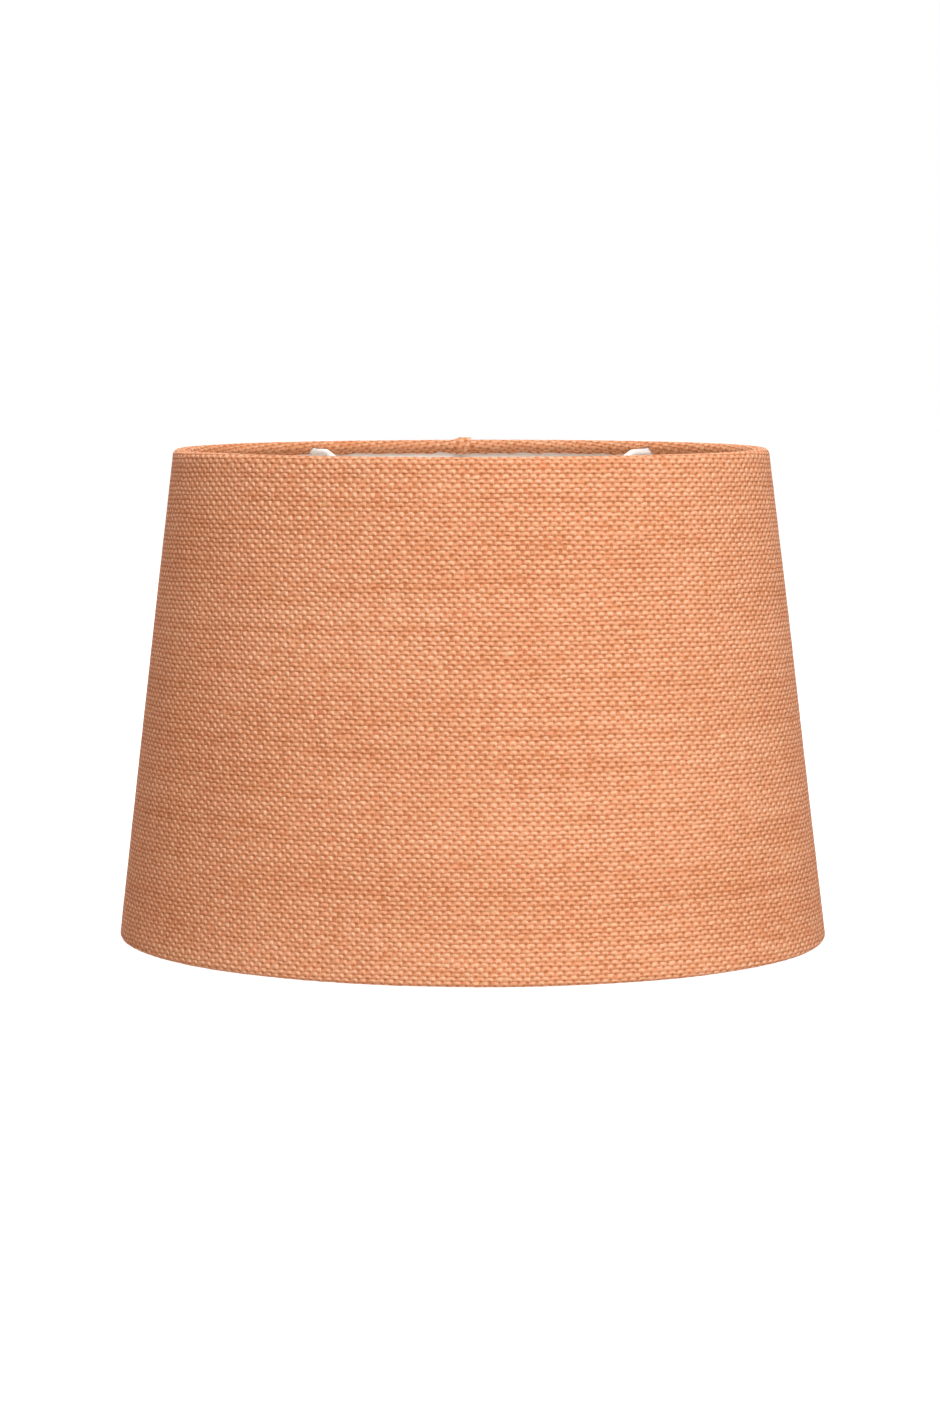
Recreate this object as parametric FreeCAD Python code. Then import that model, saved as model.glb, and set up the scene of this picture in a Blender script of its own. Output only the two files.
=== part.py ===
import FreeCAD, Part
import math
import os

# Tapered oval lamp shade: woven cloth on a stiff white liner, rolled round two
# wire hoops, hung from a recessed four-arm spider with a fitter ring.
# Millimetres, +Z up. The origin is the centre of the fitter ring's bore,
# X runs along the oval's long axis and +Y points to the back, where the seam is.

# ---- driving dimensions ----
TOP_LENGTH = 272.0
TOP_DEPTH = 180.0
BOTTOM_LENGTH = 330.0
BOTTOM_DEPTH = 214.0
HEIGHT = 227.0
RECESS = 35.0            # top rim down to the middle of the fitter ring

CLOTH = 1.0              # thickness of the jute cloth
LINER = 0.4              # thickness of the plastic liner
WIRE_RADIUS = 1.5        # hoops and spider arms
GLUE_GAP = 0.1           # all round a hoop, inside its roll of cloth
RIM_ROUND = 0.6          # how far the roll's rounded corners are cut back
TURN_IN = 6.6            # top rim down to the turned cloth's raw edge
TURN_SLANT = 1.8         # height in which the turned cloth leans back to the liner

SEAM_LEFT = -12.0        # the lap's hidden end, at the back
SEAM_RIGHT = -4.0        # the lap's outer end
SEAM_PROUD = 1.1         # the lap stands out by this much
SEAM_ABOVE = 0.9         # and above the top rim by this much

FITTER_BORE_RADIUS = 20.5
FITTER_OUTER_RADIUS = 28.5
FITTER_THICKNESS = 2.0
FITTER_EDGE_ROUND = 0.3

ARM_AZIMUTH = 40.2       # degrees from the long axis
SPIDER_TURN = -0.9       # the whole spider sits a little round in its hoop
ARM_BELOW_RIM = 5.0      # top rim down to the arm's centre line
ARM_INSET = 3.4          # outer face in to the arm's welded end
ARM_LEVEL_AT_HOOP = 10.0
ARM_LEVEL_AT_RING = 8.0
ARM_BEND_RADIUS = 7.0
SLIT_CLEARANCE = 0.3     # round an arm, where the turned cloth is snipped

TOP_Z = RECESS
POCKET_OUT = CLOTH + LINER
POCKET_IN = POCKET_OUT + 2 * (WIRE_RADIUS + GLUE_GAP)
RIM_IN = POCKET_IN + CLOTH
HOOP_INSET = CLOTH + LINER + GLUE_GAP + WIRE_RADIUS
HOOP_BELOW_RIM = CLOTH + GLUE_GAP + WIRE_RADIUS


def semi_axes(depth, inset):
    """The oval's half length and half depth, this far below the rim and inside the face."""
    share = depth / HEIGHT
    half_length = (TOP_LENGTH + (BOTTOM_LENGTH - TOP_LENGTH) * share) / 2 - inset
    half_depth = (TOP_DEPTH + (BOTTOM_DEPTH - TOP_DEPTH) * share) / 2 - inset
    return half_length, half_depth


def oval_edge(depth, inset):
    half_length, half_depth = semi_axes(depth, inset)
    centre = FreeCAD.Vector(0, 0, TOP_Z - depth)
    return Part.Ellipse(centre, half_length, half_depth).toShape()


def band(first, second):
    """The face between two ovals, given as (depth, inset). A level one is a true plane."""
    if first[0] != second[0]:
        return Part.makeRuledSurface(oval_edge(*first), oval_edge(*second))
    outer, inner = sorted([first, second], key=lambda corner: corner[1])
    return Part.Face([Part.Wire([oval_edge(*outer)]), Part.Wire([oval_edge(*inner)])])


def oval_ring(section):
    """A closed solid from a closed section of (depth, inset) corners, carried round the oval."""
    faces = [band(first, second) for first, second in zip(section, section[1:] + section[:1])]
    shell = Part.makeShell(faces)
    shell.sewShape()
    solid = Part.Solid(Part.Shell(shell.Faces))
    solid.fix(1e-4, 1e-4, 1e-3)
    if solid.Volume < 0:
        solid.reverse()
    return solid


def from_bottom(section):
    """The same section turned over, for the bottom edge, in reverse order."""
    return [(HEIGHT - depth, inset) for depth, inset in reversed(section)]


# ---- woven cover: one panel rolled over both hoops ----
def rolled_edge_section():
    """The top edge of the cloth, from its outer face over the hoop to its inner face."""
    lean = math.hypot(TURN_SLANT, POCKET_IN - POCKET_OUT)
    across = (POCKET_IN - POCKET_OUT) / lean
    hoop_bottom = HOOP_BELOW_RIM + (WIRE_RADIUS + GLUE_GAP) * across
    slant_top = hoop_bottom - (POCKET_IN - HOOP_INSET) * TURN_SLANT / (POCKET_IN - POCKET_OUT) * across
    outer_shift = CLOTH * across
    middle = RIM_ROUND * 0.85
    return [
        (3 * RIM_ROUND, 0),
        (middle, middle),
        (0, 3 * RIM_ROUND),
        (0, RIM_IN - 3 * RIM_ROUND),
        (middle, RIM_IN - middle),
        (3 * RIM_ROUND, RIM_IN),
        (slant_top + outer_shift / 2, RIM_IN),
        (slant_top + TURN_SLANT + outer_shift / 2, POCKET_OUT + CLOTH),
        (TURN_IN, POCKET_OUT + CLOTH),
        (TURN_IN, POCKET_OUT),
        (slant_top + TURN_SLANT, POCKET_OUT),
        (slant_top, POCKET_IN),
        (CLOTH, POCKET_IN),
        (CLOTH, CLOTH),
    ]


def seam_lap():
    """The raised strip where one end of the panel is glued over the other."""
    skin = CLOTH / 2
    section = [
        (-SEAM_ABOVE, SEAM_PROUD / 2),
        (-SEAM_ABOVE, RIM_IN - 3 * RIM_ROUND),
        (skin, RIM_IN - 3 * RIM_ROUND),
        (skin, skin),
        (HEIGHT, skin),
        (HEIGHT, -SEAM_PROUD / 2),
        (HEIGHT - SEAM_PROUD, -SEAM_PROUD),
        (SEAM_PROUD / 2, -SEAM_PROUD),
    ]
    width = SEAM_RIGHT - SEAM_LEFT
    corner = FreeCAD.Vector(SEAM_LEFT, 0, TOP_Z - 2 * HEIGHT)
    back = Part.makeBox(width, BOTTOM_DEPTH, 3 * HEIGHT, corner)
    return oval_ring(section).common(back)


def arm_slit(azimuth):
    """The snip in the turned cloth that lets one spider arm through."""
    half_width = WIRE_RADIUS + SLIT_CLEARANCE
    reach = 2 * RIM_IN
    top = TOP_Z - ARM_BELOW_RIM + half_width
    depth = top - (TOP_Z - TURN_IN - SLIT_CLEARANCE)
    start = arm_start_radius(azimuth) - reach
    corner = FreeCAD.Vector(start, -half_width, top - depth)
    slit = Part.makeBox(reach, 2 * half_width, depth, corner)
    slit.rotate(FreeCAD.Vector(0, 0, 0), FreeCAD.Vector(0, 0, 1), azimuth)
    return slit


def fabric_cover():
    edge = rolled_edge_section()
    cover = oval_ring(edge + from_bottom(edge))
    cover = cover.fuse(seam_lap())
    for azimuth in arm_azimuths():
        cover = cover.cut(arm_slit(azimuth))
    return cover.removeSplitter()


# ---- liner: the white plastic panel that the cloth is laminated to ----
def liner():
    return oval_ring([
        (CLOTH, CLOTH),
        (CLOTH, POCKET_OUT),
        (HEIGHT - CLOTH, POCKET_OUT),
        (HEIGHT - CLOTH, CLOTH),
    ])


# ---- hoops: round wire bent to the oval and butt welded ----
def hoop(depth):
    half_length, half_depth = semi_axes(depth, HOOP_INSET)
    centre = FreeCAD.Vector(0, 0, TOP_Z - depth)
    path = Part.Wire([Part.Ellipse(centre, half_length, half_depth).toShape()])
    start = FreeCAD.Vector(half_length, 0, TOP_Z - depth)
    section = Part.Wire([Part.makeCircle(WIRE_RADIUS, start, FreeCAD.Vector(0, 1, 0))])
    return path.makePipeShell([section], True, True)


# ---- spider: four bent arms and the flat fitter ring ----
def arm_azimuths():
    corners = [ARM_AZIMUTH, 180 - ARM_AZIMUTH, 180 + ARM_AZIMUTH, 360 - ARM_AZIMUTH]
    return [azimuth + SPIDER_TURN for azimuth in corners]


def arm_start_radius(azimuth):
    """How far from the axis the arm's welded end is."""
    half_length, half_depth = semi_axes(ARM_BELOW_RIM, ARM_INSET)
    turn = math.radians(azimuth)
    return 1 / math.hypot(math.cos(turn) / half_length, math.sin(turn) / half_depth)


def rounded_path(corners, radius):
    """Straight runs joined by arcs of this radius."""
    edges = []
    start = corners[0]
    for before, corner, after in zip(corners, corners[1:], corners[2:]):
        back = (before - corner).normalize()
        ahead = (after - corner).normalize()
        half_angle = back.getAngle(ahead) / 2
        reach = radius / math.tan(half_angle)
        arc_start = corner + back * reach
        arc_end = corner + ahead * reach
        inward = (back + ahead).normalize()
        arc_middle = corner + inward * (radius / math.sin(half_angle) - radius)
        edges.append(Part.LineSegment(start, arc_start).toShape())
        edges.append(Part.Arc(arc_start, arc_middle, arc_end).toShape())
        start = arc_end
    edges.append(Part.LineSegment(start, corners[-1]).toShape())
    return Part.Wire(edges)


def spider_arm(azimuth, top_hoop):
    level = TOP_Z - ARM_BELOW_RIM
    outer = arm_start_radius(azimuth)
    inner = FITTER_OUTER_RADIUS - FITTER_THICKNESS / 2
    corners = [
        FreeCAD.Vector(outer, 0, level),
        FreeCAD.Vector(outer - ARM_LEVEL_AT_HOOP, 0, level),
        FreeCAD.Vector(FITTER_OUTER_RADIUS + ARM_LEVEL_AT_RING, 0, 0),
        FreeCAD.Vector(inner, 0, 0),
    ]
    path = rounded_path(corners, ARM_BEND_RADIUS)
    section = Part.Wire([Part.makeCircle(WIRE_RADIUS, corners[0], FreeCAD.Vector(1, 0, 0))])
    arm = path.makePipeShell([section], True, False)
    arm.rotate(FreeCAD.Vector(0, 0, 0), FreeCAD.Vector(0, 0, 1), azimuth)
    ring_edge = Part.makeCylinder(FITTER_OUTER_RADIUS, 4 * WIRE_RADIUS, FreeCAD.Vector(0, 0, -2 * WIRE_RADIUS))
    return arm.cut(ring_edge).cut(top_hoop)


def fitter_ring():
    foot = FreeCAD.Vector(0, 0, -FITTER_THICKNESS / 2)
    disc = Part.makeCylinder(FITTER_OUTER_RADIUS, FITTER_THICKNESS, foot)
    outer_edges = [edge for edge in disc.Edges if edge.Closed]
    disc = disc.makeFillet(FITTER_EDGE_ROUND, outer_edges)
    return disc.cut(Part.makeCylinder(FITTER_BORE_RADIUS, FITTER_THICKNESS, foot))


# ---- all the pieces, one file each ----
def build():
    top_hoop = hoop(HOOP_BELOW_RIM)
    pieces = {
        "fabric_cover": fabric_cover(),
        "liner": liner(),
        "top_hoop": top_hoop,
        "bottom_hoop": hoop(HEIGHT - HOOP_BELOW_RIM),
        "fitter_ring": fitter_ring(),
    }
    names = ["arm_back_right", "arm_back_left", "arm_front_left", "arm_front_right"]
    for name, azimuth in zip(names, arm_azimuths()):
        pieces[name] = spider_arm(azimuth, top_hoop)
    return pieces


os.makedirs("parts", exist_ok=True)
for node, shape in build().items():
    box = shape.BoundBox
    print(node, shape.isValid(), len(shape.Solids), round(shape.Volume), "mm3",
          round(box.XLength, 1), round(box.YLength, 1), round(box.ZLength, 1))
    shape.exportStep("parts/" + node + ".step")
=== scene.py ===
# %% [markdown]
# # An oval lamp shade in woven jute
# The shade is one panel of coarse cloth laminated to a white plastic liner. It is
# rolled into a tapered oval, lapped and glued up the back, and its two edges are
# turned over wire hoops. A four-arm spider hangs a flat fitter ring below the top rim.
# Every length here is in metres, in the frame of the CAD model: X along the oval,
# +Y to the back, +Z up, with the origin in the middle of the fitter ring.

# %% Load the frame
import math

import bpy
import numpy as np
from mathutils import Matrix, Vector


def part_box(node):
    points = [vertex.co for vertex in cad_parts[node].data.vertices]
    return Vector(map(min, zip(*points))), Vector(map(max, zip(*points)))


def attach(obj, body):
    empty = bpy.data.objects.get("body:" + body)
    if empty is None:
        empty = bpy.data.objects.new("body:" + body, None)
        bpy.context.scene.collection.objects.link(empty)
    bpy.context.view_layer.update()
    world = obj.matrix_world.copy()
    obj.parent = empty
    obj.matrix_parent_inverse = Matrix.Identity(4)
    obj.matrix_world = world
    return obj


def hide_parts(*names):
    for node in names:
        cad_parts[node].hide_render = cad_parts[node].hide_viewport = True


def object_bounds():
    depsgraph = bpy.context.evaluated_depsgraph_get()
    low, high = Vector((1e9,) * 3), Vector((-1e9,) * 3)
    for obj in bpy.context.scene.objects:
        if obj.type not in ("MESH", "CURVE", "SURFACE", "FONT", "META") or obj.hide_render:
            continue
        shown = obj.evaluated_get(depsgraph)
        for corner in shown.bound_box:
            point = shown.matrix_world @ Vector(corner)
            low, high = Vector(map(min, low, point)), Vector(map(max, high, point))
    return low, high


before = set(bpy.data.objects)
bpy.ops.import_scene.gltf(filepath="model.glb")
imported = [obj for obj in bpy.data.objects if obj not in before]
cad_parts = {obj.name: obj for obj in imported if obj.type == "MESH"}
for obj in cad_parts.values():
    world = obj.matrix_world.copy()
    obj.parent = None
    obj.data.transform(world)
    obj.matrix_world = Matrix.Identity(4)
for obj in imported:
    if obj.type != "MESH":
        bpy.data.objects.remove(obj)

MM = 0.001
cad_low, cad_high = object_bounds()
print("CAD box, mm:", [round(v / MM, 1) for v in (*cad_low, *cad_high)])

# %% [markdown]
# ## The oval, read from the frame
# Both hoops are round wire bent to an oval, so their boxes give the wire and the
# oval's size at two heights. Every other oval lies on straight lines between them:
# `oval_point` gives a point so far below the rim, and so far inside the outer face.
# The cloth and liner thicknesses are the stock that the CAD model uses.

# %% Sizes of the shell
CLOTH = 1.0 * MM
LINER = 0.4 * MM
GLUE = 0.1 * MM

top_low, top_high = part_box("top_hoop")
bottom_low, bottom_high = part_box("bottom_hoop")
WIRE = (top_high.z - top_low.z) / 2
HOOP_DEPTH = CLOTH + GLUE + WIRE
HOOP_INSET = CLOTH + LINER + GLUE + WIRE
RIM_Z = top_high.z - WIRE + HOOP_DEPTH
HEIGHT = RIM_Z - (bottom_low.z + WIRE) + HOOP_DEPTH
RIM_WIDTH = HOOP_INSET + WIRE + GLUE + CLOTH


def half_sizes(depth):
    """The outer face's half length and half depth, this far below the rim."""
    share = (depth - HOOP_DEPTH) / (HEIGHT - 2 * HOOP_DEPTH)
    edge = HOOP_INSET - WIRE
    along = (1 - share) * top_high.x + share * bottom_high.x + edge
    across = (1 - share) * top_high.y + share * bottom_high.y + edge
    return along, across


def oval_point(depth, inset, angle):
    """Points of the shade; angle is 0 at the right end and a quarter turn at the back."""
    along, across = half_sizes(depth)
    x = (along - inset) * np.cos(angle)
    y = (across - inset) * np.sin(angle)
    return np.stack(np.broadcast_arrays(x, y, RIM_Z - depth), axis=-1)


print("rim z", round(RIM_Z / MM, 2), "height", round(HEIGHT / MM, 2), "wire", round(WIRE / MM, 2))
print("half sizes at the top, mm:", [round(v / MM, 1) for v in half_sizes(0)])
print("half sizes at the bottom, mm:", [round(v / MM, 1) for v in half_sizes(HEIGHT)])

# %% [markdown]
# ## Camera
# The camera is a long-ish lens just above the rim, so the oval's far edge shows as a
# thin sliver. It stands a little to the right of the middle, which brings the right end
# nearer, and it leans over very slightly.

# %% Camera
CAMERA_DISTANCE = 1.2431
CAMERA_TURN = 0.0454
CAMERA_ABOVE_RIM = 0.0557
CAMERA_DOWN = 0.1408
CAMERA_ROLL = 0.0025
LENS = 68.8

bpy.ops.object.camera_add(
    location=(
        CAMERA_DISTANCE * math.sin(CAMERA_TURN),
        -CAMERA_DISTANCE * math.cos(CAMERA_TURN),
        RIM_Z + CAMERA_ABOVE_RIM,
    ),
    rotation=(math.pi / 2 - CAMERA_DOWN, CAMERA_ROLL, CAMERA_TURN),
)
camera = bpy.context.object
camera.name = "camera"
camera.data.lens = LENS
bpy.context.scene.camera = camera
bpy.context.scene.view_settings.view_transform = "Standard"
print("camera at, m:", [round(v, 3) for v in camera.location], "lens", LENS)

# %% [markdown]
# ## Lamps
# The key lamp is small and high, so each bead of the weave shades the gap below it. Weak
# lamps at the right, below and behind fill the sides. A dim warm world stands for light
# that has bounced about between the yarns. It was tuned with the cloth's own colours, so
# in neutral light the cloth looks less warm than it does here.

# %% Lamps and world
WORLD_LIGHT = 0.41
WORLD_COLOR = (1.0, 0.71, 0.53, 1)
LAMP_COLOR = (0.97, 1.0, 1.05)
AIM = (0, 0, -0.08)


def soft_lamp(name, azimuth, elevation, distance, size, power):
    """A square area lamp that points at the shade; azimuth 0 is in front and 90 at the right."""
    around, up = math.radians(azimuth), math.radians(elevation)
    back = Vector((math.sin(around) * math.cos(up), -math.cos(around) * math.cos(up), math.sin(up)))
    turn = (-back).to_track_quat("-Z", "Y").to_euler()
    bpy.ops.object.light_add(type="AREA", location=Vector(AIM) + back * distance, rotation=turn)
    lamp = bpy.context.object
    lamp.name = name
    lamp.data.size = size
    lamp.data.energy = power
    lamp.data.color = LAMP_COLOR
    print(name, "at, m:", [round(v, 2) for v in lamp.location], "power", power)


soft_lamp("key_lamp", 17, 50, 1.4, 0.3, 14.0)
soft_lamp("side_lamp", 45, 10, 1.6, 1.0, 3.0)
soft_lamp("low_lamp", 15, -35, 0.7, 0.5, 1.5)
soft_lamp("back_lamp", 200, 40, 1.6, 0.9, 18.0)

world = bpy.context.scene.world or bpy.data.worlds.new("studio")
bpy.context.scene.world = world
world.use_nodes = True
world.node_tree.nodes["Background"].inputs["Color"].default_value = WORLD_COLOR
world.node_tree.nodes["Background"].inputs["Strength"].default_value = WORLD_LIGHT

# %% [markdown]
# ## Floor and tent
# The ground is white and very even, as in a light tent. A real tent would throw its own
# light back and flatten the weave, so the tent and floor are only seen, and cast nothing
# on the shade. The floor lies a hair below the bottom roll, so the two don't touch.

# %% Floor and tent
FLOOR_SIZE = 11.0
FLOOR_GAP = 0.3 * MM
TENT_RADIUS = 8.0


def white_paper(name, glow, paleness):
    """A stage material that stays white where little light reaches it."""
    paper = bpy.data.materials.new(name)
    paper.use_nodes = True
    shader = paper.node_tree.nodes["Principled BSDF"]
    shader.inputs["Base Color"].default_value = (paleness, paleness, paleness, 1)
    shader.inputs["Roughness"].default_value = 1.0
    shader.inputs["Specular IOR Level"].default_value = 0.0
    shader.inputs["Emission Color"].default_value = (1, 1, 1, 1)
    shader.inputs["Emission Strength"].default_value = glow
    return paper


def stand_behind(name, material):
    """Makes the new object part of the stage. It shows, but throws no light on the shade."""
    stage = bpy.context.object
    stage.name = name
    stage.data.materials.append(material)
    stage.visible_diffuse = False
    stage.visible_shadow = False


bpy.ops.mesh.primitive_plane_add(size=FLOOR_SIZE, location=(0, 0, cad_low.z - FLOOR_GAP))
stand_behind("floor", white_paper("floor_paper", 1.0, 0.3))
bpy.ops.mesh.primitive_uv_sphere_add(radius=TENT_RADIUS)
stand_behind("tent", white_paper("tent_cloth", 1.0, 0.0))
print("floor at z, mm:", round((cad_low.z - FLOOR_GAP) / MM, 1))

# %% [markdown]
# ## Writing materials as sums
# A material is a tree of nodes, and wiring dozens of Math nodes by hand hides what they
# work out. `Socket` wraps one output so that + - * / on it add the Math nodes, and
# `Material.node` makes any other node from its type, its settings and its inputs.

# %% Material helper
class Socket:
    """One output of a node. Sums on it add Math nodes to its material."""

    def __init__(self, material, output):
        self.material = material
        self.output = output

    def out(self, name):
        return Socket(self.material, self.output.node.outputs[name])

    def math(self, operation, *others):
        inputs = dict(enumerate((self, *others)))
        return self.material.node("Math", {"operation": operation}, inputs)

    def __add__(self, other):
        return self.math("ADD", other)

    def __mul__(self, other):
        return self.math("MULTIPLY", other)

    def __sub__(self, other):
        return self.math("SUBTRACT", other)

    def __truediv__(self, other):
        return self.math("DIVIDE", other)

    def __rsub__(self, other):
        return self.material.node("Math", {"operation": "SUBTRACT"}, {0: other, 1: self})

    __radd__ = __add__
    __rmul__ = __mul__


class Material:
    """A material's node tree, with one method that makes any node."""

    def __init__(self, name):
        self.data = bpy.data.materials.new(name)
        self.data.use_nodes = True
        self.tree = self.data.node_tree
        self.tree.nodes.clear()

    def node(self, kind, settings=None, inputs=None, output=0):
        made = self.tree.nodes.new("ShaderNode" + kind)
        for name, value in (settings or {}).items():
            if name == "stops":
                self.set_stops(made.color_ramp, value)
            else:
                setattr(made, name, value)
        for name, value in (inputs or {}).items():
            if isinstance(value, Socket):
                self.tree.links.new(value.output, made.inputs[name])
            else:
                made.inputs[name].default_value = value
        return None if output is None else Socket(self, made.outputs[output])

    def set_stops(self, ramp, stops):
        while len(ramp.elements) < len(stops):
            ramp.elements.new(0.5)
        for element, (place, color) in zip(ramp.elements, stops):
            element.position = place
            element.color = (*color, 1)

    def mix(self, factor, first, second, blend="MIX"):
        """Two colours mixed; 0, 6, 7 and output 2 are the node's colour sockets."""
        settings = {"data_type": "RGBA", "blend_type": blend}
        return self.node("Mix", settings, {0: factor, 6: first, 7: second}, output=2)

    def vector(self, x, y, z=0.0):
        return self.node("CombineXYZ", None, {0: x, 1: y, 2: z})

    def noise(self, vector, scale, detail=2.0, rough=0.5):
        inputs = {"Vector": vector, "Scale": scale, "Detail": detail, "Roughness": rough}
        return self.node("TexNoise", None, inputs)

    def ramp(self, value, low, high):
        """0 below low, 1 above high, and smooth between."""
        settings = {"interpolation_type": "SMOOTHSTEP", "clamp": True}
        return self.node("MapRange", settings, {"Value": value, "From Min": low, "From Max": high})

    def finish(self, inputs):
        """The surface shader and the output."""
        surface = self.node("BsdfPrincipled", None, inputs)
        self.node("OutputMaterial", None, {"Surface": surface}, output=None)
        return self.data


# %% [markdown]
# ## Jute cloth
# Hessian is a plain weave of thick, slubby single yarns, about twelve to the inch, so
# each weft passes over one warp and under the next. The cloth's own map, called "cloth",
# gives the place on the flat cut in metres. Divided by the yarn spacing it counts yarns:
# the whole part says which yarn, and the rest says how far across it. A yarn's height is
# its wave over and under its neighbours plus its round section, and the higher of the
# two yarns shows. An image of cloth would be quicker but would repeat and blur.

# %% Weave sizes and colours
YARN_SPACING = 2.03 * MM
RELIEF = 1.15 * MM
WEFT_WAVE = 0.25
WEFT_BODY = 0.50
WARP_WAVE = 0.14
WARP_BODY = 0.08
WARP_LEVEL = 0.12
BACKING = 0.14
FIBRE_BUMP = 0.10
# How dark the painted shade under each bead and the painted shadow on the warp below it are.
PAINTED_SHADE_UNDER_BEAD = 0.72
PAINTED_SHADOW_ON_WARP = 0.5

# Colours along the tone: from painted shade in the gaps between yarns at 0 to the pale yarn tops at
# 1.
YARN_AND_PAINTED_SHADE_STOPS = [
    (0.0, (0.52, 0.185, 0.07)),
    (0.35, (0.74, 0.31, 0.145)),
    (0.6, (0.83, 0.395, 0.215)),
    (1.0, (0.93, 0.545, 0.34)),
]
FLECK_RED = (0.78, 0.22, 0.11, 1)
FLECK_STRAW = (0.92, 0.64, 0.34, 1)
print("yarns to the inch:", round(25.4 * MM / YARN_SPACING, 1))

# %% [markdown]
# The wefts are slacker than the warps, so they stand up in beads, each wider than the
# warp that it crosses. Light that goes into the gap under a bead comes out a deeper
# orange, after bouncing from fibre to fibre. Plain shading can't do that, nor cast the
# beads' shadows, so shade is painted into the colour: the lower half of each bead is
# painted darker and deeper orange, and a painted shadow lies on the warp just below it.
# Low places between the yarns are painted darker too, and the yarn tops paler. Thickness,
# tint and fibre streaks change along each yarn, because jute is spun unevenly, and no two
# beads are quite alike.

# %% Jute cloth material
def yarn(jute, number, along, seed):
    """How thick and how pale one yarn is at a place along it, both from 0 to 1."""
    slow = jute.noise(jute.vector(along * 0.09, number * 5.37 + seed), 1.0, 3.0, 0.6)
    tint = jute.noise(jute.vector(along * 0.035, number * 3.71 + seed * 2.3), 1.0, 2.0, 0.5)
    return jute.ramp(slow, 0.3, 0.7), jute.ramp(tint, 0.28, 0.72)


def jute_cloth():
    jute = Material("jute_cloth")
    place = jute.node("UVMap", {"uv_map": "cloth"})
    split = jute.node("SeparateXYZ", None, {0: place})
    across, down = split.out("X") / YARN_SPACING, split.out("Y") / YARN_SPACING

    bow = jute.noise(jute.vector(across * 0.05, down * 0.05), 1.0, 3.0)
    jitter = jute.noise(jute.vector(across * 0.45, down * 0.45, 7.0), 1.0, 1.0)
    warp_gaps = jute.noise(jute.vector(across * 0.6, down * 0.08, 13.0), 1.0, 1.0)
    weft_gaps = jute.noise(jute.vector(across * 0.08, down * 0.6, 12.0), 1.0, 1.0)
    u = across + bow * 0.8 + jitter * 0.6 + warp_gaps * 0.3
    v = down + bow * 0.56 + (1 - jitter) * 0.6 + weft_gaps * 0.35
    warp_number, weft_number = u.math("FLOOR"), v.math("FLOOR")
    fu, fv = u - warp_number - 0.5, v - weft_number - 0.5
    side = (warp_number + weft_number).math("MODULO", 2.0).math("ABSOLUTE") * 2 - 1
    cell = jute.vector(warp_number, weft_number)
    chance = jute.node("TexWhiteNoise", {"noise_dimensions": "3D"}, {"Vector": cell})

    warp_thick, warp_tint = yarn(jute, warp_number, v, 11.0)
    weft_thick, weft_tint = yarn(jute, weft_number, u, 47.0)
    press = jute.noise(jute.vector(u * 0.3, v * 0.3, 15.0), 1.0, 2.0)
    pressed = 1 - jute.ramp(press, 0.45, 0.75) * 0.4

    warp_share = fu / (warp_thick * 0.12 + 0.44)
    weft_share = fv / (weft_thick * 0.14 + 0.43)
    warp_round = (1 - warp_share * warp_share).math("MAXIMUM", 0.0)
    weft_round = (1 - weft_share * weft_share).math("MAXIMUM", 0.0).math("SQRT")
    warp_bend = (fv * math.pi).math("COSINE")
    weft_bend = (fu * math.pi).math("COSINE")
    weft_wave = side * weft_bend * pressed * (chance * 0.5 + 0.75) * WEFT_WAVE
    weft_swell = weft_bend * 0.15 + 0.85
    weft_height = weft_round * weft_swell * pressed * WEFT_BODY + weft_wave
    warp_height = warp_round * WARP_BODY + WARP_LEVEL - side * warp_bend * WARP_WAVE
    weft_on_top = jute.ramp(weft_height - warp_height, -0.04, 0.04)
    height = weft_height.math("MAXIMUM", warp_height).math("MAXIMUM", BACKING)

    fibre_weft = jute.noise(jute.vector(u * 1.6, v * 9.0, 3.0), 1.0, 3.0, 0.65)
    fibre_warp = jute.noise(jute.vector(u * 9.0, v * 1.6, 9.0), 1.0, 3.0, 0.65)
    fibre = fibre_warp + weft_on_top * (fibre_weft - fibre_warp)
    tint = warp_tint + weft_on_top * (weft_tint - warp_tint)

    # Painted shade on the lower half of each weft bead, and below it a painted shadow on the top of
    # the warp.
    painted_shade_under_bead = weft_on_top * jute.ramp(fv, -0.14, 0.26) * weft_bend
    below = (1 - weft_on_top) * jute.ramp(0 - fv, 0.0, 0.42) * weft_bend * weft_bend
    patch = jute.noise(jute.vector(across * 0.011, down * 0.030, 2.0), 1.0, 2.0)
    streak = jute.noise(jute.vector(across * 0.02, down * 0.33, 5.0), 1.0, 2.0)
    # The tone paints shade and light from the yarns' height: low places and the warps between beads
    # darker, bead tops paler. The random cell, tint, fibre, patch and streak terms are the cloth's
    # own.
    tone_with_painted_shade = jute.ramp(height, 0.05, 0.60) * 0.45 + weft_on_top * 0.30 + 0.14
    tone_with_painted_shade = tone_with_painted_shade - painted_shade_under_bead * PAINTED_SHADE_UNDER_BEAD - below * PAINTED_SHADOW_ON_WARP + (chance - 0.5) * 0.25
    tone_with_painted_shade = tone_with_painted_shade + (tint - 0.5) * 0.2 + (fibre - 0.5) * 0.4
    tone_with_painted_shade = tone_with_painted_shade + (patch - 0.5) * 0.45 + (streak - 0.5) * 0.35
    color = jute.node("ValToRGB", {"stops": YARN_AND_PAINTED_SHADE_STOPS}, {0: tone_with_painted_shade})

    fleck = jute.noise(jute.vector(u * 0.45, v, 21.0), 1.0, 2.0)
    color = jute.mix(jute.ramp(fleck, 0.60, 0.72) * 0.5, color, FLECK_RED)
    straw = jute.noise(jute.vector(u * 0.4, v * 0.9, 33.0), 1.0, 2.0)
    color = jute.mix(jute.ramp(straw, 0.60, 0.74) * 0.4, color, FLECK_STRAW)

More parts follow.
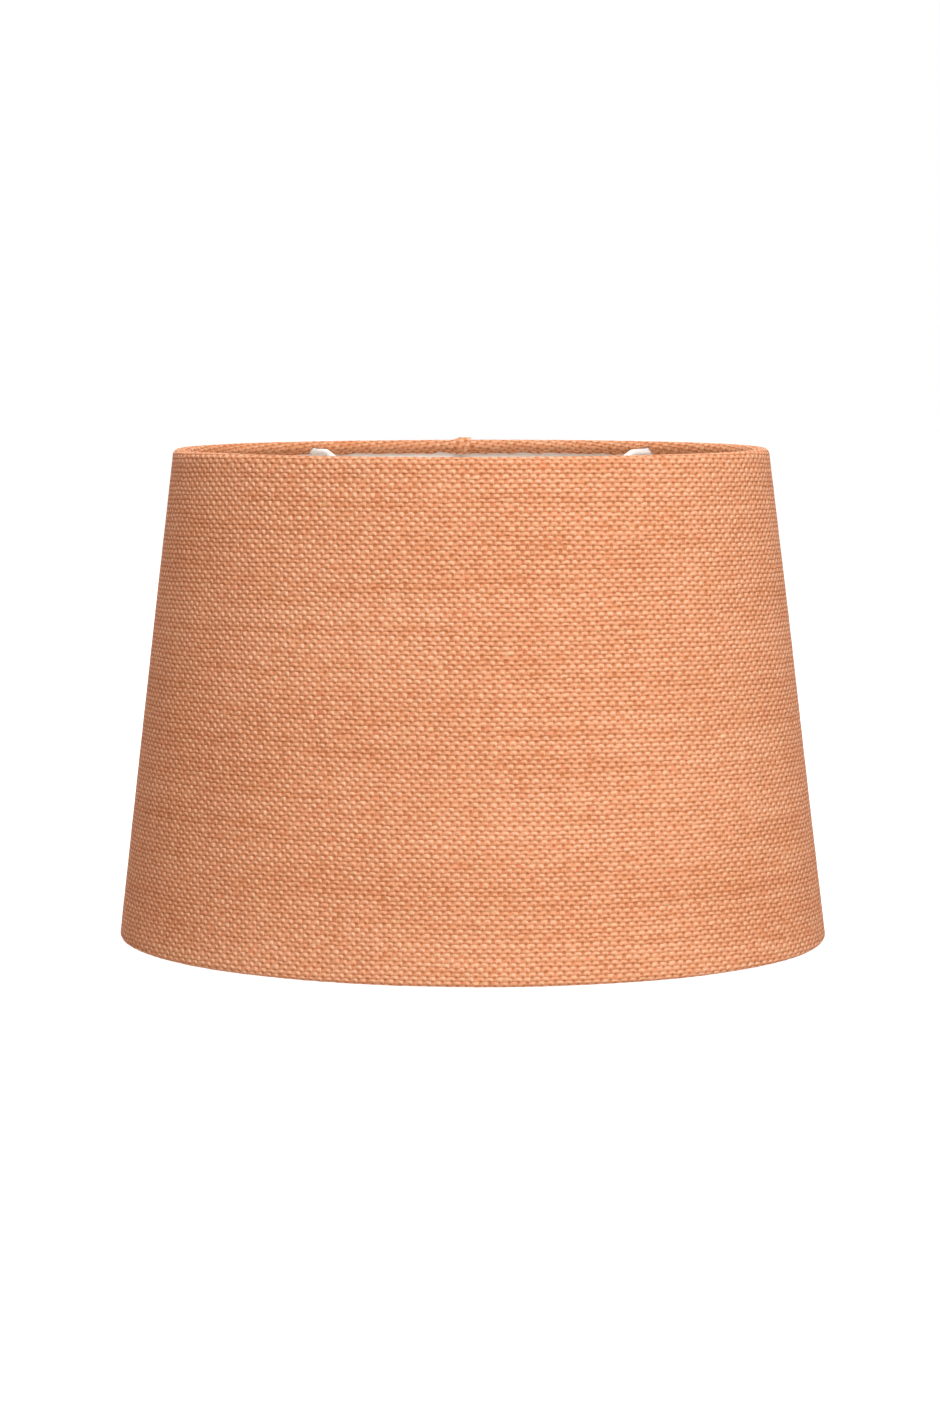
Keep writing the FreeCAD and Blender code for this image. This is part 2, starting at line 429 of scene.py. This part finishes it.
    bump_height = height + (fibre - 0.5) * FIBRE_BUMP
    bump = jute.node("Bump", None, {"Height": bump_height, "Distance": RELIEF, "Strength": 1.0})
    return jute.finish({
        "Base Color": color,
        "Roughness": 0.98 - tone_with_painted_shade * 0.2,
        "Normal": bump,
        "Specular IOR Level": 0.12,
        "Sheen Weight": 0.05,
        "Sheen Roughness": 0.5,
        "Sheen Tint": (1.0, 0.7, 0.5, 1),
    })


jute_material = jute_cloth()
print("jute cloth:", len(jute_material.node_tree.nodes), "nodes")

# %% [markdown]
# ## White liner
# The liner is a thin vinyl film, slightly warm, with a satin face. The cloth behind it
# prints through very faintly, and handling leaves soft smears that change the gloss.

# %% Liner material
def white_liner():
    film = Material("white_liner")
    place = film.node("TexCoord").out("Object")
    smear = film.noise(place, 26.0, 4.0, 0.6)
    grain = film.noise(place, 900.0, 2.0)
    clean = film.ramp(smear, 0.35, 0.7)
    color = film.mix(clean, (0.86, 0.845, 0.80, 1), (0.92, 0.91, 0.88, 1))
    bump_height = grain * 0.35 + smear * 0.65
    bump = film.node("Bump", None, {"Height": bump_height, "Distance": 0.12 * MM, "Strength": 0.6})
    return film.finish({
        "Base Color": color,
        "Roughness": smear * 0.22 + 0.36,
        "Normal": bump,
        "Specular IOR Level": 0.45,
    })


liner_material = white_liner()
print("white liner:", len(liner_material.node_tree.nodes), "nodes")

# %% [markdown]
# ## White powder coat
# The hoops, arms and ring are steel, powder coated white. Baked powder has a faint
# orange-peel skin and a soft gloss, and it is a little thinner and greyer where handling
# rubs it.

# %% Powder coat material
def powder_coat(name, peel_scale):
    paint = Material(name)
    place = paint.node("TexCoord").out("Object")
    peel = paint.noise(place, peel_scale, 2.0)
    rubbed = paint.noise(place, 120.0, 5.0, 0.65)
    worn = paint.ramp(rubbed, 0.56, 0.76) * 0.6
    color = paint.mix(worn, (0.86, 0.855, 0.83, 1), (0.68, 0.67, 0.64, 1))
    bump = paint.node("Bump", None, {"Height": peel, "Distance": 0.06 * MM, "Strength": 0.7})
    return paint.finish({
        "Base Color": color,
        "Roughness": rubbed * 0.25 + 0.22,
        "Normal": bump,
        "Specular IOR Level": 0.5,
        "Coat Weight": 0.15,
    })


wire_material = powder_coat("white_wire", 1400.0)
ring_material = powder_coat("white_ring", 900.0)
print("powder coat:", len(wire_material.node_tree.nodes), "nodes each")

# %% [markdown]
# ## The path of the cloth over the hoops
# Seen in section, the cloth starts at its raw edge inside, leans out to the wire, goes
# round it, runs down the outside and does the same in reverse round the bottom hoop.
# The path is a list of (depth below rim, inset) corners with the round stretch as an
# arc; `along_path` reads it at any length.

# %% Section of the rolled panel
ROLL_END = math.radians(142)
ROLL_STEPS = 24
TURN_IN = 6.6 * MM
FOOT = 5.9 * MM
SPARE = 2.0 * MM
TURNED_INSET = CLOTH + LINER + CLOTH

half_rim = RIM_WIDTH / 2
turns = np.linspace(ROLL_END, -math.pi / 2, ROLL_STEPS)
roll = np.stack([HOOP_DEPTH * (1 - np.cos(turns)), half_rim * (1 + np.sin(turns))], axis=1)
foot = np.array([(TURN_IN + SPARE, TURNED_INSET), (TURN_IN, TURNED_INSET), (FOOT, TURNED_INSET)])
top_edge = np.concatenate([foot, roll])
bottom_edge = top_edge[::-1] * (-1, 1) + (HEIGHT, 0)
path = np.concatenate([top_edge, bottom_edge])
steps = np.linalg.norm(np.diff(path, axis=0), axis=1)
length_at = np.concatenate([[0], np.cumsum(steps)])
path_length = length_at[-1]
wall_top = length_at[len(top_edge) - 1]
wall_bottom = length_at[len(top_edge)]
roll_top = length_at[len(foot) + ROLL_STEPS // 2]
raw_edge = length_at[1]


def along_path(length):
    """Depth and inset at a length along the path, and the way out of the cloth's face."""
    reach = 0.3 * MM
    depth, inset = (np.interp(length, length_at, path[:, axis]) for axis in (0, 1))
    ahead = np.stack([np.interp(length + reach, length_at, path[:, axis]) for axis in (0, 1)])
    behind = np.stack([np.interp(length - reach, length_at, path[:, axis]) for axis in (0, 1)])
    tangent = ahead - behind
    tangent /= np.linalg.norm(tangent, axis=0)
    return depth, inset, tangent[1], -tangent[0]


print("cloth from raw edge to raw edge:", round((path_length - 2 * raw_edge) / MM, 1), "mm")

# %% [markdown]
# ## The panel's columns
# The panel starts at the lap's hidden end, runs right round by the right-hand end and
# the front, and finishes by passing over its own start. Columns are evenly spaced, with
# extra ones beside each spider arm, where the turned cloth is snipped, and in the ramp
# where the outer end climbs over the inner one.

# %% Columns round the oval
LAP_START = 9.0 * MM
LAP_FINISH = 4.0 * MM
LAP_RAMP = 6.0 * MM
ARM_TURN = math.radians(40.2)
SPIDER_TURN = math.radians(-0.9)
SNIP_HALF = WIRE + 0.15 * MM
SNIP_EDGE = 0.25 * MM
COLUMNS = 440
RAMP_COLUMNS = 5

middle_along = half_sizes(HEIGHT / 2)[0]
start_angle = math.acos(-LAP_START / middle_along)
finish_angle = math.acos(-LAP_FINISH / middle_along) - 2 * math.pi
ramp_start = math.acos(-(LAP_START + LAP_RAMP) / middle_along) - 2 * math.pi
ramp_finish = math.acos(-(LAP_START + CLOTH) / middle_along) - 2 * math.pi
corner_turns = [ARM_TURN, math.pi - ARM_TURN, math.pi + ARM_TURN, 2 * math.pi - ARM_TURN]
arm_turns = [turn + SPIDER_TURN for turn in corner_turns]


def arm_reach(turn, depth, inset):
    """From the axis to the oval, in an arm's direction."""
    along, across = half_sizes(depth)
    return 1 / math.hypot(math.cos(turn) / (along - inset), math.sin(turn) / (across - inset))


def column_angle(turn, sideways):
    """The column that passes this far beside an arm, at the rim's inner face."""
    along, across = (size - RIM_WIDTH for size in half_sizes(0))
    reach = arm_reach(turn, 0, RIM_WIDTH)
    x = reach * math.cos(turn) - sideways * math.sin(turn)
    y = reach * math.sin(turn) + sideways * math.cos(turn)
    angle = math.atan2(y / across, x / along)
    return angle if angle < finish_angle + 2 * math.pi else angle - 2 * math.pi


even_angles = np.linspace(start_angle, finish_angle, COLUMNS)
ramp_angles = np.linspace(ramp_start, ramp_finish, RAMP_COLUMNS)
angles = [*even_angles, *ramp_angles]
for turn in arm_turns:
    for offset in (-SNIP_HALF - SNIP_EDGE, -SNIP_HALF, 0, SNIP_HALF, SNIP_HALF + SNIP_EDGE):
        angles.append(column_angle(turn, offset))
angles = np.array(sorted(angles, reverse=True))
print("columns:", len(angles))

# %% [markdown]
# ## The flat cut
# A tapered shade is cut as a fan. Walking round the wall and laying each narrow strip
# flat beside the last gives that fan, and each point's place on it is its cloth map. The
# warp stands upright at the front and leans a little where the panel was rolled on. The
# cloth eases as it is laminated, so the wefts follow the rims about half of the way.

# %% Unroll the wall
WEFT_FOLLOWS_RIM = 0.5
WARP_LEAN = 0.03
WARP_BOW = 0.055


def beside(near, far, from_near, from_far):
    """The point at these distances from two others, on the left of the line from near to far."""
    line = far - near
    span = abs(line)
    along = (from_near**2 - from_far**2 + span**2) / (2 * span)
    off = math.sqrt(max(from_near**2 - along**2, 0))
    return near + line / span * complex(along, off)


def flat_cut():
    """Flat places of the wall's top and bottom ends at every column, as complex numbers."""
    top = oval_point(HOOP_DEPTH, CLOTH / 2, angles)
    bottom = oval_point(HEIGHT - HOOP_DEPTH, CLOTH / 2, angles)
    flat_top, flat_bottom = [0j], [complex(0, -np.linalg.norm(top[0] - bottom[0]))]
    for column in range(1, len(angles)):
        last_top, last_bottom = flat_top[-1], flat_bottom[-1]
        low = beside(
            last_bottom, last_top,
            np.linalg.norm(bottom[column] - bottom[column - 1]),
            np.linalg.norm(bottom[column] - top[column - 1]),
        )
        high = beside(
            low, last_top,
            np.linalg.norm(top[column] - bottom[column]),
            np.linalg.norm(top[column] - top[column - 1]),
        )
        flat_bottom.append(low)
        flat_top.append(high)
    front = int(np.argmin(np.abs(angles + math.pi / 2)))
    upright = flat_top[front] - flat_bottom[front]
    turn = complex(0, 1) * abs(upright) / upright
    flat_top, flat_bottom = np.array(flat_top), np.array(flat_bottom)
    origin = flat_top[front]
    return (flat_top - origin) * turn, (flat_bottom - origin) * turn


flat_top, flat_bottom = flat_cut()
wall_length = wall_bottom - wall_top


def flat_place(column, length):
    """Where a point of the panel lies on the flat cut."""
    share = (length - wall_top) / wall_length
    return flat_top[column] + share * (flat_bottom[column] - flat_top[column])


def cloth_map(column, length):
    """The point's place in the weave: across the warps, and down the wefts."""
    place = flat_place(column, length)
    down = length - wall_top
    bow = WARP_BOW * wall_length / math.pi * (1 - np.cos(math.pi * down / wall_length))
    across = place.real - WARP_LEAN * down - bow
    rows = WEFT_FOLLOWS_RIM * down - (1 - WEFT_FOLLOWS_RIM) * place.imag
    return across, rows


every_column = np.arange(len(angles))
top_cut = flat_place(every_column, raw_edge)
bottom_cut = flat_place(every_column, path_length - raw_edge)

# %% [markdown]
# ## Rolling up the panel
# Both the cloth and the liner start as a flat grid, one row of points per column of the
# oval, and every point is carried to its place on the rolled shade. The outer end of the
# lap is lifted by the two layers that it passes over. Cloth is never quite even, so its
# face wavers by a tenth of a millimetre or so, and its raw edges wander.

# %% Rolled panels
LAP_LIFT = CLOTH + LINER
ROLL_LIFT = CLOTH + GLUE
WAVER = 0.10 * MM
EDGE_WANDER = 0.45 * MM
SNIP_TOP = math.radians(92)
SNIP_GATHER = 0.02

roll_lengths = length_at[len(foot):len(top_edge)]
snip_length = float(np.interp(-SNIP_TOP, -turns, roll_lengths))
dice = np.random.default_rng(12)


def waves(count, size, fastest):
    """A smooth uneven surface over angle and length, made of a few waves."""
    turns_round = dice.integers(2, fastest, count)
    per_length = dice.uniform(-fastest / 2, fastest / 2, count) / 0.15
    phases = dice.uniform(0, 2 * math.pi, count)

    def value(angle, length):
        total = sum(
            np.sin(n * angle + k * length + phase)
            for n, k, phase in zip(turns_round, per_length, phases)
        )
        return total * size / math.sqrt(count)

    return value


broad_waver = waves(14, WAVER, 14)
fine_waver = waves(40, WAVER / 2, 160)
edge_wander = waves(60, EDGE_WANDER, 220)
print("snips start, mm from the raw edge:", round((snip_length - raw_edge) / MM, 1))


def raised(angle):
    """0 on the single panel and 1 where the outer end lies over the inner one."""
    share = np.clip((ramp_start - angle) / (ramp_start - ramp_finish), 0, 1)
    return share * share * (3 - 2 * share)


def snipped(angle):
    """True in the columns that a spider arm passes through."""
    inside = np.zeros(angle.shape, bool)
    for turn in arm_turns:
        low, high = (column_angle(turn, side * (SNIP_HALF + 0.01 * MM)) for side in (-1, 1))
        inside |= (angle > min(low, high)) & (angle < max(low, high))
    return inside


def rolled_grid(name, lengths, place):
    """A flat grid with a row of points for each length, carried to the rolled shade by place."""
    bpy.ops.object.select_all(action="DESELECT")
    bpy.ops.mesh.primitive_grid_add(
        x_subdivisions=len(angles) - 1, y_subdivisions=len(lengths) - 1, size=1
    )
    sheet = bpy.context.object
    sheet.name = name
    flat = np.empty(len(sheet.data.vertices) * 3)
    sheet.data.vertices.foreach_get("co", flat)
    flat = flat.reshape(-1, 3)
    column = np.rint((flat[:, 0] + 0.5) * (len(angles) - 1)).astype(int)
    row = np.rint((flat[:, 1] + 0.5) * (len(lengths) - 1)).astype(int)
    points, length = place(angles[column], lengths[row])
    sheet.data.vertices.foreach_set("co", points.ravel())
    across, down = cloth_map(column, length)
    corner = np.empty(len(sheet.data.loops), np.int32)
    sheet.data.loops.foreach_get("vertex_index", corner)
    cloth_uv = sheet.data.uv_layers[0]
    cloth_uv.name = "cloth"
    cloth_uv.data.foreach_set("uv", np.stack([across, down], axis=1)[corner].ravel())
    sheet.data.update()
    return sheet


def point_outwards(sheet):
    """Flips the grid if its faces look at the shade's axis."""
    face = min(sheet.data.polygons, key=lambda each: abs(each.center.x) + each.center.y)
    if face.normal.y > 0:
        bpy.ops.object.mode_set(mode="EDIT")
        bpy.ops.mesh.select_all(action="SELECT")
        bpy.ops.mesh.flip_normals()
        bpy.ops.object.mode_set(mode="OBJECT")


def thicken(sheet, thickness, smooth_angle):
    """Gives the sheet its thickness on the inside and shades it smooth."""
    solid = sheet.modifiers.new("thickness", "SOLIDIFY")
    solid.thickness = thickness
    solid.offset = -1
    bpy.ops.object.modifier_apply(modifier=solid.name)
    bpy.ops.object.shade_smooth_by_angle(angle=math.radians(smooth_angle))


def report(piece):
    piece.data.calc_loop_triangles()
    size = [round(v / MM, 1) for v in piece.dimensions]
    print(piece.name, "size mm", size, "triangles", len(piece.data.loop_triangles))


# %% [markdown]
# ## The cloth cover
# The cloth is the outside face, both rolled edges and the turned-in strips inside, all
# in one piece. Where an arm comes through, the strip is snipped: the rows of points that
# would lie across the arm are gathered up against the end of the cut.

# %% Cloth cover
FOOT_ROWS = 2
STRIP_ROWS = 3
ROLL_ROWS = 14
WALL_ROWS = 62


def cloth_rows():
    """Lengths along the path: close together in the rolls and two yarns apart on the wall."""
    stretches = [
        (raw_edge, length_at[2], FOOT_ROWS),
        (length_at[2], roll_lengths[0], STRIP_ROWS),
        (roll_lengths[0], wall_top, ROLL_ROWS),
    ]
    rows = np.concatenate([
        np.linspace(low, high, count, endpoint=False) for low, high, count in stretches
    ])
    wall = np.linspace(wall_top, wall_bottom, WALL_ROWS)
    return np.concatenate([rows, wall, (path_length - rows)[::-1]])


def cloth_place(angle, length):
    """Carries points of the cloth to the rolled shade."""
    nearer_end = np.minimum(length, path_length - length) - raw_edge
    edge_share = np.clip(1 - nearer_end / roll_lengths[0], 0, 1)
    which_end = np.where(length < path_length / 2, 1.0, -1.0)
    length = length + which_end * edge_share * edge_wander(angle, which_end * 3.0)
    cut = snipped(angle) & (length < roll_top)
    gathered = snip_length - (snip_length - length) * SNIP_GATHER
    length = np.where(cut, np.maximum(length, gathered), length)
    depth, inset, out_depth, out_inset = along_path(length)
    past_roll = np.minimum(length, path_length - length) - roll_top
    on_wall = np.clip(past_roll / (wall_top - roll_top), 0, 1)
    lift = raised(angle) * (ROLL_LIFT + on_wall * (LAP_LIFT - ROLL_LIFT))
    lift = lift + broad_waver(angle, length) * on_wall + fine_waver(angle, length)
    lowest = np.minimum(depth + lift * out_depth, HEIGHT)
    return oval_point(lowest, inset + lift * out_inset, angle), length


cover = rolled_grid("jute_cover", cloth_rows(), cloth_place)
point_outwards(cover)
thicken(cover, CLOTH, 50)
cover.data.materials.append(jute_material)
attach(cover, "root")
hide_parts("fabric_cover")
report(cover)

# %% [markdown]
# ## The liner
# The film behind the cloth stops just short of each roll's top, and its inner end shows
# inside as a fine upright step where the panel laps.

# %% Liner
LINER_EDGE = 2.0 * MM
LINER_ROWS = 12


def liner_place(angle, depth):
    """Carries points of the liner to the rolled shade; its length is its depth below the rim."""
    lift = raised(angle) * LAP_LIFT + broad_waver(angle, depth)
    return oval_point(depth, CLOTH - lift, angle), depth + wall_top


liner_rows = np.linspace(LINER_EDGE, HEIGHT - LINER_EDGE, LINER_ROWS)
lining = rolled_grid("white_lining", liner_rows, liner_place)
point_outwards(lining)
thicken(lining, LINER, 40)
lining.data.materials.append(liner_material)
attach(lining, "root")
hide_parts("liner")
report(lining)

# %% [markdown]
# ## Hoops, arms and ring
# These CAD pieces already have their true shape, so they only need the powder coat.

# %% Paint the metal
HOOPS = ("top_hoop", "bottom_hoop")
ARMS = ("arm_back_right", "arm_back_left", "arm_front_left", "arm_front_right")

for node in (*HOOPS, *ARMS):
    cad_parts[node].material_slots[0].material = wire_material
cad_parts["fitter_ring"].material_slots[0].material = ring_material
print("painted:", len(HOOPS), "hoops,", len(ARMS), "arms and the ring")

# %% [markdown]
# ## Weld beads
# Each arm is welded to the hoop's inside and to the ring's edge. A weld is a small
# rounded lump, drawn out across the joint. One bead is made from an icosphere, uneven
# as weld metal is, and copied to the eight joints, then all are joined into one piece.

# %% Beads
RING_BEAD = (1.1 * MM, 2.2 * MM, 1.6 * MM)
HOOP_BEAD = (1.1 * MM, 1.5 * MM, 1.0 * MM)
HOOP_BEAD_INSET = 4.7 * MM
HOOP_BEAD_DEPTH = 4.0 * MM
RING_BEAD_DROP = 1.0 * MM

bpy.ops.object.select_all(action="DESELECT")
bpy.ops.mesh.primitive_ico_sphere_add(subdivisions=3, radius=1)
bead = bpy.context.object
bead.name = "weld_beads"
for vertex in bead.data.vertices:
    x, y, z = vertex.co
    vertex.co *= 1 + 0.06 * math.sin(5 * y + 2 * x) + 0.04 * math.sin(7 * z - 3 * y)
bpy.ops.object.shade_smooth()

ring_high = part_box("fitter_ring")[1]
welds = []
for turn in arm_turns:
    hoop_reach = arm_reach(turn, HOOP_BEAD_DEPTH, HOOP_BEAD_INSET)
    welds.append((turn, ring_high.x, ring_high.z - RING_BEAD_DROP, RING_BEAD))
    welds.append((turn, hoop_reach, RIM_Z - HOOP_BEAD_DEPTH, HOOP_BEAD))

beads = [bead]
for _ in welds[1:]:
    twin = bead.copy()
    twin.data = bead.data.copy()
    bpy.context.collection.objects.link(twin)
    beads.append(twin)
for each, (turn, reach, height, size) in zip(beads, welds):
    each.location = (reach * math.cos(turn), reach * math.sin(turn), height)
    each.rotation_euler = (0, 0, turn)
    each.scale = size
    each.select_set(True)
bpy.context.view_layer.objects.active = bead
bpy.ops.object.transform_apply(location=True, rotation=True, scale=True)
bpy.ops.object.join()
bead.data.materials.append(wire_material)
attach(bead, "root")
report(bead)
